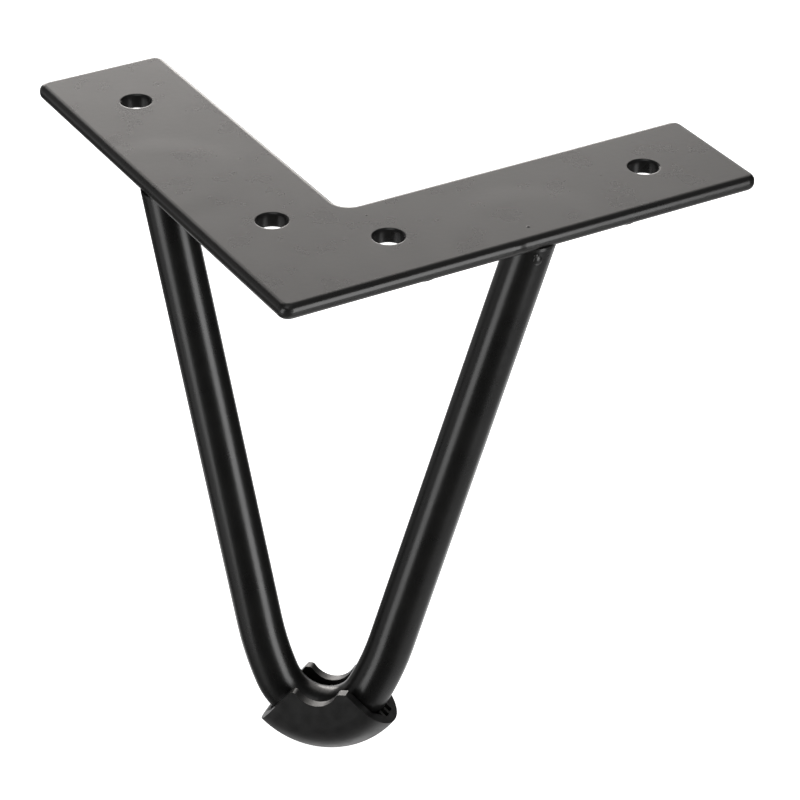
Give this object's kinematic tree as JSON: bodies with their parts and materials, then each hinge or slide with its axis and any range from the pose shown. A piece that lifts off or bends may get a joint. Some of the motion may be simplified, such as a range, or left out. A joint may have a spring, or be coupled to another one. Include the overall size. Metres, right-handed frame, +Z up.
{
  "type": "hairpin table leg",
  "caption": "Short hairpin furniture leg: an L-shaped corner plate with screw holes, a round rod bent into a leaning V, and a plastic shoe clipped on the bend.",
  "frame": {"origin": "on the plate's top face, where the lines through the two rows of screw holes cross", "axes": "+X along one arm of the plate, +Y along the other, +Z up into the table top; the bend of the rod points down and leans towards the plate's outer corner"},
  "size_m": [0.1137, 0.1137, 0.125],
  "materials": {
    "plate_coat": "satin black powder coat",
    "rod_coat": "satin black powder coat",
    "weld_coat": "satin black powder coat over the weld bead",
    "shoe_plastic": "matte black moulded plastic"
  },
  "bodies": {
    "root": {"mounting_plate": "plate_coat", "hairpin_rod": "rod_coat", "weld_bead_left": "weld_coat", "weld_bead_right": "weld_coat", "foot_shoe": "shoe_plastic"}
  },
  "joints": []
}
